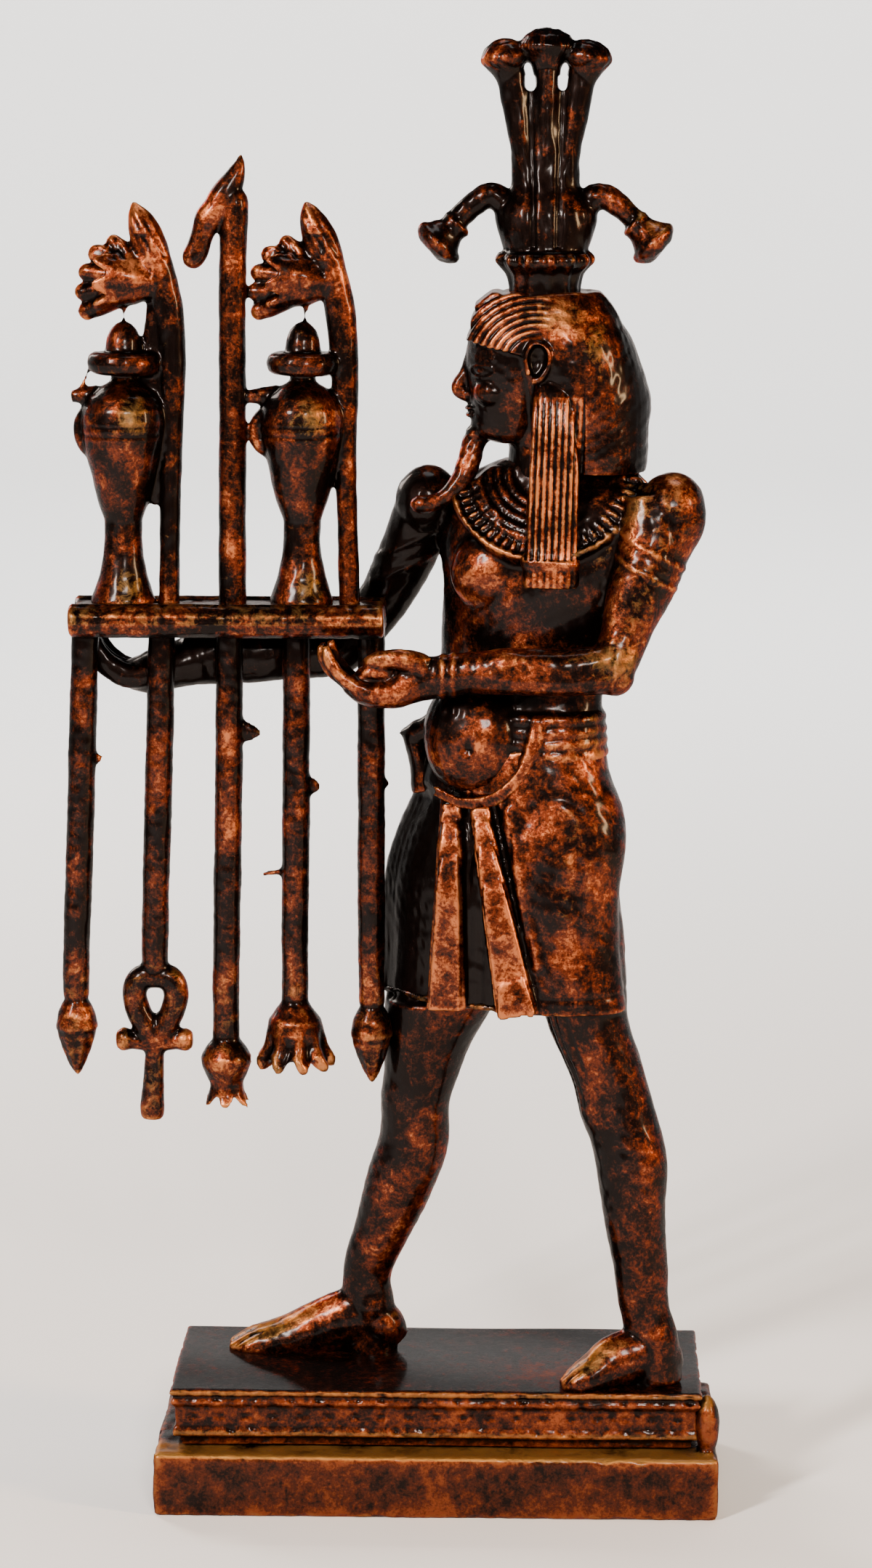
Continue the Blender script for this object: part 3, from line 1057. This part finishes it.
def crown_carving(points, facing):
    x, y, z = points.T
    depth = ripple(points, 6, 51) * 0.10 + ripple(points, 1.8, 52) * 0.04
    # seams between the stems, and ribs on the umbels
    spread = 1 + (z - 214) * 0.012
    for seam in (-1, 1):
        run = (x - AXIS) / spread - seam * 2.0
        body = (z > 214) & (z < 242) & (np.abs(x - AXIS) < 8)
        depth -= body * 0.55 * np.exp(-((run / 0.5) ** 2))
    depth -= (z > 243) * 0.10 * (0.5 + 0.5 * np.cos(np.arctan2(y, x - AXIS) * 40))
    bead = (z > 210) & (z < 213) & (np.hypot(x - AXIS, y) > 6)
    depth += bead * 0.3 * (0.5 + 0.5 * np.cos(np.arctan2(y, x - AXIS) * 26)) * peak(z, 212, 0.7)
    return depth


carve(crown, crown_carving)


def crown_copper(points, facing):
    x, y, z = points.T
    amount = 0.20 + 0.14 * ripple(points, 8, 53)
    amount += 0.16 * steps(239, 243, z)
    amount += 0.22 * steps(26, 32, x)
    return amount


def crown_gold(points, facing):
    x, y, z = points.T
    return 0.30 * steps(28, 34, x) * steps(0.0, 0.7, facing[:, 2])


fit_in(crown, "statue", bronzed, crown_copper, crown_gold, 8, 0.25)

# Tray and the stems that hang from it.
# Real piece: resin, in one with the hands: a mat with rolled edges and five stalks below it
# that end in a bud, a sign of life, a tulip, a bell flower and a bud, with flash left on them.
TRAY_TOP = 154.3
TRAY_BOTTOM = 149.1
TRAY_MIDDLE = (TRAY_TOP + TRAY_BOTTOM) / 2
TRAY_RIGHT = -8.4
TRAY_LENGTH = 53.1
TRAY_LEFT = TRAY_RIGHT - TRAY_LENGTH
TRAY_Y = 0.75
TRAY_HALF_DEPTH = 8.0
ROLL = 2.9
STALK = 4.7 / 2
STALK_PLACES = [0.044, 0.288, 0.505, 0.718, 0.954]
STALK_SPREAD = 2.7
STALK_LENGTHS = [63, 58, 71, 65, 64]

bm = bmesh.new()
mat = bmesh.ops.create_cube(bm, size=1)["verts"]
bmesh.ops.scale(bm, verts=mat, vec=(TRAY_LENGTH - 1.2, 2 * TRAY_HALF_DEPTH - 3, 4.4))
bmesh.ops.translate(bm, verts=mat, vec=((TRAY_LEFT + TRAY_RIGHT) / 2, TRAY_Y, TRAY_BOTTOM + 2.8))
for side in (-1, 1):
    turned(bm, [
        (0.001, 0), (ROLL * 0.8, 0), (ROLL, 0.5), (ROLL, TRAY_LENGTH * 0.5),
        (ROLL, TRAY_LENGTH - 0.5), (ROLL * 0.8, TRAY_LENGTH), (0.001, TRAY_LENGTH),
    ], 28, Vector((TRAY_LEFT, TRAY_Y + side * (TRAY_HALF_DEPTH - ROLL), TRAY_MIDDLE)), Vector((1, 0, 0)))

DOWN = Vector((0, 0, -1))


def stalk(number):
    """Top and end of a hanging stalk."""
    x = TRAY_LEFT + TRAY_LENGTH * STALK_PLACES[number]
    lean = STALK_SPREAD * (1 - STALK_PLACES[number])
    top = Vector((x, TRAY_Y, TRAY_MIDDLE))
    return top, Vector((x - lean, TRAY_Y, TRAY_BOTTOM - STALK_LENGTHS[number]))


for number in range(5):
    top, end = stalk(number)
    middle = top.lerp(end, 0.5)
    tip = end + DOWN
    limb(bm, [(*top, STALK), (*middle, STALK * 1.02), (*end, STALK * 0.97), (*tip, STALK * 0.8)], 20)

for number in (0, 4):
    _, end = stalk(number)
    r = 3.5
    turned(bm, [
        (0.001, -0.4), (STALK * 0.95, -0.3), (STALK * 0.8, 0.6), (r * 0.72, 1.6), (r * 0.93, 3.2),
        (r, 5.0), (r * 0.95, 7.2), (r * 0.74, 9.6), (r * 0.46, 12.0), (r * 0.2, 13.8), (0.001, 14.6),
    ], 28, end, DOWN)
    turned(bm, [
        (0.001, 4.9), (r + 0.1, 5.2), (r + 0.22, 5.6), (r + 0.05, 6.0), (0.001, 6.3),
    ], 28, end, DOWN)

_, end = stalk(1)
ANKH = 26.6 / 27.5
loop = [(0, -1.6), (-2.8, -2.2), (-3.7, -4.6), (-3.3, -7.4), (-1.9, -10.4), (0, -13.2)]
for side in (-1, 1):
    limb(bm, [
        (end.x + side * x * ANKH, TRAY_Y, end.z + z * ANKH, 2.25 * ANKH, 2.2 * ANKH) for x, z in loop
    ], 18, spacing=0.6)
    limb(bm, [
        (end.x - 0.2, TRAY_Y, end.z - 13.4, 1.7, 1.7),
        (end.x - 0.2 + side * 3.4, TRAY_Y, end.z - 13.2, 1.5, 1.6),
        (end.x - 0.2 + side * 5.4, TRAY_Y, end.z - 12.9, 2.1, 2.0),
        (end.x - 0.2 + side * 6.6, TRAY_Y, end.z - 12.9, 1.3, 1.3),
    ], 18, spacing=0.5)
limb(bm, [
    (end.x - 0.1, TRAY_Y, end.z - 12, 1.7, 1.7), (end.x - 0.5, TRAY_Y, end.z - 20, 1.8, 1.8),
    (end.x - 0.8, TRAY_Y, end.z - 26, 2.2, 2.1), (end.x - 0.8, TRAY_Y, end.z - 26.9, 1.8, 1.8),
], 18)


def petals(count, cut, flare):
    """Notches between petals: the rim is cut back and drawn in between every two."""

    def notch(angle, radius, height):
        dip = (0.5 - 0.5 * math.cos(angle * count)) ** 1.4
        share = min(max((height - cut[0]) / (cut[1] - cut[0]), 0), 1)
        return radius * (1 - flare * dip * share), height - (cut[1] - cut[0]) * 0.45 * dip * share

    return notch


_, end = stalk(2)
r, h = 4.4, 11.4
turned(bm, [
    (0.001, -1), (STALK * 0.95, -0.4), (r * 0.8, h * 0.10), (r, h * 0.24), (r * 0.98, h * 0.36),
    (r * 0.82, h * 0.52), (r * 0.68, h * 0.66), (r * 0.74, h * 0.82), (r * 0.98, h),
    (r * 0.78, h * 0.98), (r * 0.4, h * 0.80), (0.001, h * 0.74),
], 42, end, DOWN, notch=petals(6, (h * 0.6, h), 0.25))
_, end = stalk(3)
r, h = 6.9, 10.6
turned(bm, [
    (0.001, -1.4), (STALK * 0.98, -1.0), (r * 0.52, h * 0.08), (r * 0.66, h * 0.2),
    (r * 0.72, h * 0.4), (r * 0.76, h * 0.62), (r * 0.86, h * 0.78), (r, h * 0.90), (r * 0.96, h),
    (r * 0.8, h * 0.98), (r * 0.4, h * 0.84), (0.001, h * 0.8),
], 72, end, DOWN, notch=petals(9, (h * 0.5, h), 0.14))
# flash and stubs left from the mould
for x, z, reach, width in (
    (-31.9, 131.9, 2.3, 2.4), (-27.2, 107.6, -2.4, 0.7), (-20.6, 122.5, 0.9, 1.9),
    (-8.6, 123.2, 0.7, 1.3), (-57.4, 127.3, 0.6, 1.0),
):
    limb(bm, [
        (x - math.copysign(1.6, reach), TRAY_Y, z + 0.3, width, 0.8),
        (x + reach * 0.4, TRAY_Y, z, width * 0.6, 0.6),
        (x + reach, TRAY_Y, z - 0.2, width * 0.2 if width > 1.2 else width * 0.7, 0.35),
    ], 10, spacing=0.4)
tray = cast(bm, "tray_and_hanging_stems", 0.42, 3)


def tray_carving(points, facing):
    x, y, z = points.T
    depth = ripple(points, 11, 61) * 0.06 + ripple(points, 2.6, 62) * 0.035
    mat = z > TRAY_BOTTOM - 0.5
    # the rolled edge is bound into blocks, with lines pressed along it
    block_run = ((x - TRAY_LEFT) / 10.6) % 1 - 0.5
    depth -= mat * 0.14 * np.exp(-((block_run * 10.6 / 0.5) ** 2))
    depth -= mat * 0.10 * waves((z - TRAY_BOTTOM), 1.5) * steps(0.3, 0.8, np.abs(facing[:, 1]))
    # ribs along the buds
    for number in (0, 4):
        _, end = stalk(number)
        bud = (np.abs(x - end.x) < 4.5) & (z < end.z - 6) & (z > end.z - 15)
        depth -= bud * 0.16 * (0.5 + 0.5 * np.cos(np.arctan2(y - TRAY_Y, x - end.x) * 8))
    _, end = stalk(3)
    bell = (np.abs(x - end.x) < 7.5) & (z < end.z - 1) & (z > end.z - 11.5)
    ribs = np.cos(np.arctan2(y - TRAY_Y, x - end.x) * 9)
    depth += bell * 0.45 * ribs * steps(end.z - 2, end.z - 8, z)
    return depth


carve(tray, tray_carving)


def tray_copper(points, facing):
    x, y, z = points.T
    mat = steps(TRAY_BOTTOM - 0.4, TRAY_BOTTOM + 0.4, z)
    amount = 0.32 + 0.14 * ripple(points, 10, 63)
    amount += 0.06 * mat
    amount -= 0.28 * steps(141, 149, z) * (1 - mat)
    return amount + 0.14 * steps(96, 90, z)


def tray_gold(points, facing):
    x, y, z = points.T
    crest = steps(0.1, 0.7, -facing[:, 1] * 0.7 + facing[:, 2])
    return 0.22 * steps(TRAY_BOTTOM, TRAY_BOTTOM + 1, z) * crest + 0.16 * steps(96, 90, z)


fit_in(tray, "statue", bronzed, tray_copper, tray_gold)

# Offerings on the tray.
# Real piece: resin, in one with the tray: two tall stoppered vases with a ring round the neck
# and a bent spout, two lotus stems with a bud and an open flower, and a headed sceptre.
VASE_PLACES = [0.165, 0.733]
LOTUS_PLACES = [0.326, 0.868]
LOTUS_LEANS = [-0.8, 0.9]
SCEPTRE_PLACE = 0.513
LOTUS_Y = TRAY_Y + 0.6
VASE_BELLIES = [7.1, 7.0]
VASE_LEANS = [0.7, 0.5]


def along_tray(place):
    """The sheet x at a share of the tray's length."""
    return TRAY_LEFT + TRAY_LENGTH * place


bm = bmesh.new()
for place, belly, lean in zip(VASE_PLACES, VASE_BELLIES, VASE_LEANS):
    x = along_tray(place)
    foot = Vector((x, TRAY_Y, TRAY_TOP - 0.6))
    turned(bm, [
        (0.001, 0), (5.3, 0.2), (5.4, 1.0), (4.9, 2.4), (4.1, 5.0), (3.4, 8.4), (3.1, 11.5),
        (3.2, 14.5), (belly * 0.62, 17.8), (belly * 0.75, 21.4), (belly * 0.88, 25.4),
        (belly * 0.97, 28.6), (belly, 31.0), (belly * 0.96, 33.2), (belly * 0.82, 35.2),
        (belly * 0.56, 36.8), (2.2, 37.8), (2.05, 39.0), (2.6, 39.2), (4.7, 38.9), (5.8, 39.5),
        (6.2, 40.9), (5.8, 42.2), (4.7, 42.7), (3.2, 42.5), (3.0, 43.4), (2.8, 44.8), (2.2, 46.4),
        (1.2, 47.4), (0.001, 47.8),
    ], 40, foot, Vector((lean, 0, 47)))
    # spout: a knob on a curved neck
    reach = 1.0 if place > 0.5 else 0.0
    limb(bm, [
        (x - 3.6, TRAY_Y, foot.z + 36.0, 1.2, 1.2), (x - 6.2, TRAY_Y, foot.z + 35.4, 1.4, 1.3),
        (x - 8.2 - reach, TRAY_Y, foot.z + 35.2, 1.0, 1.0),
    ], 16, spacing=0.5)
    limb(bm, [
        (x - 5.2, TRAY_Y, foot.z + 33.2, 1.3, 1.3),
        (x - 6.8 - reach * 0.6, TRAY_Y, foot.z + 30.6, 1.2, 1.3),
        (x - 6.6 - reach * 0.8, TRAY_Y, foot.z + 28.0, 1.2, 1.3),
        (x - 4.6, TRAY_Y, foot.z + 25.4, 1.3, 1.3),
    ], 16, spacing=0.5)

for place, lean in zip(LOTUS_PLACES, LOTUS_LEANS):
    x = along_tray(place)
    stem = [
        (lean, 0, 1.8, 1.9), (lean * 0.7, 12, 1.75, 1.8), (lean * 0.3, 28, 2.0, 2.0),
        (0.1, 42, 2.4, 2.2), (-0.7, 51, 2.6, 2.3), (-2.1, 56.6, 2.6, 2.4), (-3.3, 60.2, 2.9, 2.7),
        (-4.6, 63.6, 2.5, 2.4), (-5.7, 66.3, 1.3, 1.3), (-6.1, 67.6, 0.3, 0.3),
    ]
    limb(bm, [(x + dx, LOTUS_Y, TRAY_TOP - 0.6 + dz, a, b) for dx, dz, a, b in stem], 24, spacing=0.7)
    # open flower: seven petals, their tips curled
    flower = Vector((x - 1.0, LOTUS_Y, TRAY_TOP + 54.0))
    turned(bm, [
        (0.001, 0), (1.9, 0.2), (3.2, 2.0), (4.4, 4.6), (4.9, 7.4), (5.2, 9.6), (5.4, 11.2),
        (5.0, 11.9), (4.2, 11.4), (3.4, 9.8), (2.2, 8.6), (0.001, 8.2),
    ], 60, flower, Vector((-1, 0, 0.04)), 0.8, notch=petals(7, (6.6, 11.9), 0.12))
    for dx, dz, thick in (
        (-8.4, 6.2, 1.3), (-11.2, 4.2, 1.6), (-13.0, 1.2, 1.5), (-13.6, -2.0, 1.5), (-13.0, -5.2, 1.6),
    ):
        tip = flower + Vector((dx, 0.5, dz))
        base = flower.lerp(tip, 0.55)
        neck = flower.lerp(tip, 0.85)
        petal = [(*base, 1.6, 2.4), (*neck, thick * 1.1, 1.9), (*tip, thick * 0.9, 1.3)]
        limb(bm, petal, 14, spacing=0.5)
        lump(bm, *tip, thick, 1.3, thick)

# web of resin between the far vase and the lotus beside it
web = along_tray(LOTUS_PLACES[0])
limb(bm, [
    (web - 1.6, LOTUS_Y, TRAY_TOP + 52, 2.2, 1.3), (web - 2.4, LOTUS_Y, TRAY_TOP + 42, 2.6, 1.2),
    (web - 3.2, LOTUS_Y, TRAY_TOP + 30, 3.0, 1.2), (web - 3.0, LOTUS_Y, TRAY_TOP + 20, 2.4, 1.1),
    (web - 2.4, LOTUS_Y, TRAY_TOP + 16.4, 1.0, 0.9),
], 20)

# sceptre
x = along_tray(SCEPTRE_PLACE)
foot_z = TRAY_TOP - 0.6


def sceptre_rings(rows):
    """Rings given from the sceptre's foot, moved to where it stands."""
    return [(x + dx, TRAY_Y, foot_z + dz, a, b) for dx, dz, a, b in rows]


limb(bm, sceptre_rings([
    (0, 0, 2.4, 2.4), (0.3, 34, 2.3, 2.3), (0.7, 62, 2.3, 2.3), (1.0, 67.6, 2.3, 2.3),
    (1.0, 69.2, 1.6, 1.6),
]), 22)
limb(bm, sceptre_rings([
    (1.8, 67.4, 1.6, 1.5), (0.0, 67.3, 2.4, 2.1), (-3.0, 65.2, 2.4, 2.0), (-4.6, 61.8, 1.9, 1.6),
    (-5.6, 59.0, 2.0, 1.6), (-6.6, 57.6, 1.7, 1.4), (-7.2, 57.0, 0.6, 0.5),
]), 22, spacing=0.6)
limb(bm, sceptre_rings([
    (-3.2, 65.2, 1.6, 1.8), (-1.0, 68.2, 2.4, 2.1), (0.8, 71.2, 1.9, 1.6), (1.8, 73.8, 1.0, 0.9),
    (2.0, 75.3, 0.35, 0.4),
]), 20, spacing=0.6)
# drawn-out threads of resin
for ax, az, bx, bz in (
    (-51.9, 203.6, -52.1, 200.2), (-57.4, 194.8, -59.2, 190.4), (-21.6, 204.0, -21.8, 199.8),
):
    thread = [(ax, TRAY_Y, az, 0.5), ((ax + bx) / 2, TRAY_Y, (az + bz) / 2, 0.3), (bx, TRAY_Y, bz, 0.5)]
    limb(bm, thread, 10, spacing=0.4)
offerings = cast(bm, "vases_lotus_and_sceptre", 0.36, 3)


def offering_carving(points, facing):
    x, y, z = points.T
    depth = ripple(points, 9, 71) * 0.06 + ripple(points, 2.2, 72) * 0.03
    for place in VASE_PLACES:
        vx = along_tray(place)
        body = (np.abs(x - vx) < 6.6) & (z > 178) & (z < 190)
        depth -= body * 0.14 * peak(z, 182.6, 0.3)
        depth -= body * 0.10 * peak(z, 184.2, 0.3)
    sideways = steps(0.2, 0.7, np.abs(facing[:, 1]))
    for place in LOTUS_PLACES:
        lx = along_tray(place)
        bud = (z > 212) & (np.abs(x - lx + 4) < 6)
        depth -= bud * 0.20 * waves((x - lx) + (z - 214) * 0.55, 1.7) * sideways
        bloom = (z > 202) & (z < 216) & (x < lx - 3) & (x > lx - 16)
        fan = np.arctan2(z - (TRAY_TOP + 52.6), lx + 3 - x)
        depth -= bloom * 0.30 * (0.5 + 0.5 * np.cos(fan * 15)) * sideways
    return depth


carve(offerings, offering_carving)


def offering_copper(points, facing):
    x, y, z = points.T
    amount = 0.41 + 0.16 * ripple(points, 9, 73)
    amount += 0.22 * steps(207, 212, z) * steps(-44, -47, x) + 0.08 * steps(200, 204, z)
    amount -= 0.20 * peak(x, -44, 4) * steps(208, 204, z)
    amount -= 0.24 * peak(x, -22, 4) * peak(z, 198.5, 3.5)
    return amount - 0.20 * steps(0.2, 0.8, facing[:, 1])


def offering_gold(points, facing):
    x, y, z = points.T
    amount = 0.08 * steps(0.3, 0.9, -facing[:, 1])
    for place in VASE_PLACES:
        vx = along_tray(place)
        for dx, height, spread, share in ((1.5, 157.5, 3, 0.30), (2.5, 186, 4, 0.34)):
            spot = ((x - vx - dx) / 2.6) ** 2 + ((z - height) / spread) ** 2
            amount = amount + share * np.exp(-spot) * steps(TRAY_Y + 1, TRAY_Y - 1, y)
    return amount


fit_in(offerings, "statue", bronzed, offering_copper, offering_gold, 8, 0.25)

# Studio: a round pale floor whose rim curves up, so that every view has it behind the
# object, four soft boxes round the figure and one turned away to wash the rim.
bm = bmesh.new()
FLOOR_RADIUS, RIM_BEND, RIM_HEIGHT = 1.7, 0.35, 0.75
profile = [(0, 0), (0.4, 0), (1.0, 0), (FLOOR_RADIUS, 0)]  # radius, height in metres
for a in (0.3, 0.6, 0.9, 1.2, math.pi / 2):
    profile.append((FLOOR_RADIUS + RIM_BEND * math.sin(a), RIM_BEND * (1 - math.cos(a))))
profile.append((FLOOR_RADIUS + RIM_BEND, RIM_HEIGHT))
line = [bm.verts.new((r, 0, z)) for r, z in profile]
edges = [bm.edges.new(pair) for pair in zip(line, line[1:])]
bmesh.ops.spin(
    bm, geom=line + edges, cent=(0, 0, 0), axis=(0, 0, 1), angle=2 * math.pi, steps=96, use_merge=True
)
bmesh.ops.remove_doubles(bm, verts=bm.verts, dist=0.0005)
bmesh.ops.recalc_face_normals(bm, faces=bm.faces)
if next(iter(bm.faces)).normal.z < 0:
    bmesh.ops.reverse_faces(bm, faces=bm.faces)
floor_mesh = bpy.data.meshes.new("studio_floor")
bm.to_mesh(floor_mesh)
bm.free()
floor_mesh.shade_smooth()
floor = bpy.data.objects.new("studio_floor", floor_mesh)
bpy.context.scene.collection.objects.link(floor)
paper = bpy.data.materials.new("white_paper")
paper.use_nodes = True
sheet_shader = paper.node_tree.nodes["Principled BSDF"]
sheet_shader.inputs["Base Color"].default_value = srgb("#F7F6F4")
sheet_shader.inputs["Roughness"].default_value = 0.9
floor_mesh.materials.append(paper)


def lamp(name, place, target, size, watts, colour):
    """A soft box: a lit oblong of a size in metres that faces its target."""
    light = bpy.data.lights.new(name, "AREA")
    light.shape = "RECTANGLE"
    light.size, light.size_y = size
    light.energy = watts
    light.color = srgb(colour)[:3]
    holder = bpy.data.objects.new(name, light)
    holder.location = place
    holder.rotation_euler = (Vector(target) - Vector(place)).to_track_quat("-Z", "Y").to_euler()
    bpy.context.scene.collection.objects.link(holder)


MIDDLE = (0, 0, 0.13)
lamp("key_box", (-0.46, -0.60, 0.52), MIDDLE, (0.08, 0.22), 10.0, "#FFF2EA")
lamp("front_box", (0.13, -0.74, 0.44), MIDDLE, (0.10, 0.10), 4.0, "#FFF2E8")
lamp("side_box", (0.70, -0.30, 0.34), MIDDLE, (0.08, 0.24), 6.0, "#FFD09A")
lamp("top_box", (0.05, 0.10, 0.95), MIDDLE, (0.4, 0.2), 1.8, "#FFFFFF")
lamp("rear_box", (-0.50, 0.52, 0.50), MIDDLE, (0.2, 0.4), 5.0, "#FFF0E4")
lamp("back_wash", (0.0, 0.80, 1.1), (0, 2.0, 0.1), (1.6, 0.4), 44.0, "#FFFFFF")

world = bpy.data.worlds.new("studio")
world.use_nodes = True
world.node_tree.nodes["Background"].inputs["Color"].default_value = srgb("#DDE3EC")
world.node_tree.nodes["Background"].inputs["Strength"].default_value = 0.035
bpy.context.scene.world = world

# Camera: level with the crown, looking a little down, about 0.7 m away.
CAMERA_PLACE = (0.0195, -0.69075, 0.2504)
LOOKS_DOWN, LOOKS_LEFT = math.radians(10.4), math.radians(1.65)
camera_data = bpy.data.cameras.new("camera")
camera_data.sensor_width = 36
camera_data.lens = 94.88
camera = bpy.data.objects.new("camera", camera_data)
camera.location = CAMERA_PLACE
camera.rotation_euler = (math.pi / 2 - LOOKS_DOWN, 0, LOOKS_LEFT)
bpy.context.scene.collection.objects.link(camera)
bpy.context.scene.camera = camera
